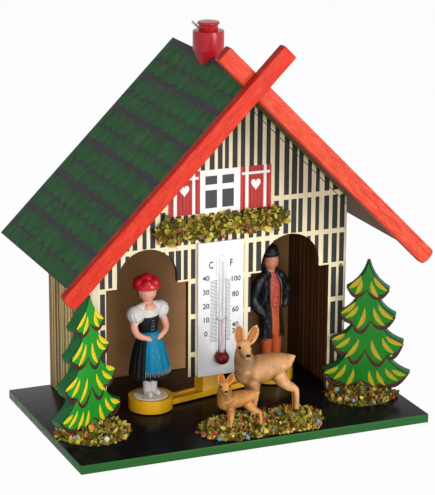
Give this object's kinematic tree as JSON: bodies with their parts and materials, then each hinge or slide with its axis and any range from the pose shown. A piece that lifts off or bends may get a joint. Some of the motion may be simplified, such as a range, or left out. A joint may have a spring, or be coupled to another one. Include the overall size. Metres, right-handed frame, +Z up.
{
  "type": "weather house",
  "caption": "Gabled wooden weather house with a figure in each arched door on a swinging arm hung from a gut string, a wall thermometer, trees, moss and deer on a base.",
  "frame": {"origin": "centre of the underside of the base plate", "axes": "+Z up, the facade faces -Y, +X to the right seen from the front"},
  "size_m": [0.1696, 0.1, 0.1721],
  "materials": {
    "base_paint": "black gloss paint with green edges",
    "facade_print": "printed timber framing",
    "wall_boards": "stained grooved boards",
    "hardboard": "bare brown hardboard",
    "roof_print": "printed shingles",
    "red_paint": "orange-red paint",
    "chimney_paint": "red paint",
    "plate_white": "white with a printed scale",
    "tube_glass": "clear",
    "red_spirit": "red spirit",
    "steel_wire": "dull wire",
    "steel_nail": "dull",
    "garland": "leaves and small blossoms",
    "tree_paint": "green paint with yellow strokes",
    "moss": "dried moss with tiny flowers",
    "doe_paint": "moulded and painted",
    "fawn_paint": "moulded and painted",
    "gut": "bare twisted gut",
    "arm_plastic": "moulded yellow plastic",
    "bare_wood": "bare wood",
    "woman_paint": "moulded and hand painted",
    "man_paint": "moulded and hand painted"
  },
  "bodies": {
    "house": {"base_plate": "base_paint", "front_wall": "facade_print", "left_wall": "wall_boards", "right_wall": "wall_boards", "back_wall": "hardboard", "roof_left": "roof_print", "roof_right": "roof_print", "bargeboard_left": "red_paint", "bargeboard_right": "red_paint", "chimney": "chimney_paint", "thermometer_plate": "plate_white", "thermometer_tube": "tube_glass", "thermometer_spirit": "red_spirit", "tube_clip": "steel_wire", "facade_nails": "steel_nail", "flower_garland": "garland", "tree_left": "tree_paint", "tree_right": "tree_paint", "moss_left": "moss", "moss_right": "moss", "moss_middle": "moss", "doe": "doe_paint", "fawn": "fawn_paint"},
    "adjuster": {"chimney_plug": "chimney_paint", "gut_tail": "gut"},
    "arm": {"swing_arm": "arm_plastic", "gut_string": "gut", "gut_peg": "bare_wood", "woman_figure": "woman_paint", "man_figure": "man_paint"}
  },
  "joints": [
    {"name": "arm_swing", "type": "hinge", "parent": "house", "child": "arm", "pos_m": [0, 0.0105, 0.011], "axis": [0, 0, 1], "range_deg": [-46.5, 19.5], "stiffness_Nm_per_rad": 0.0006},
    {"name": "plug_turn", "type": "hinge", "parent": "house", "child": "adjuster", "pos_m": [0, 0.0105, 0.165], "axis": [0, 0, 1], "continuous": true}
  ]
}
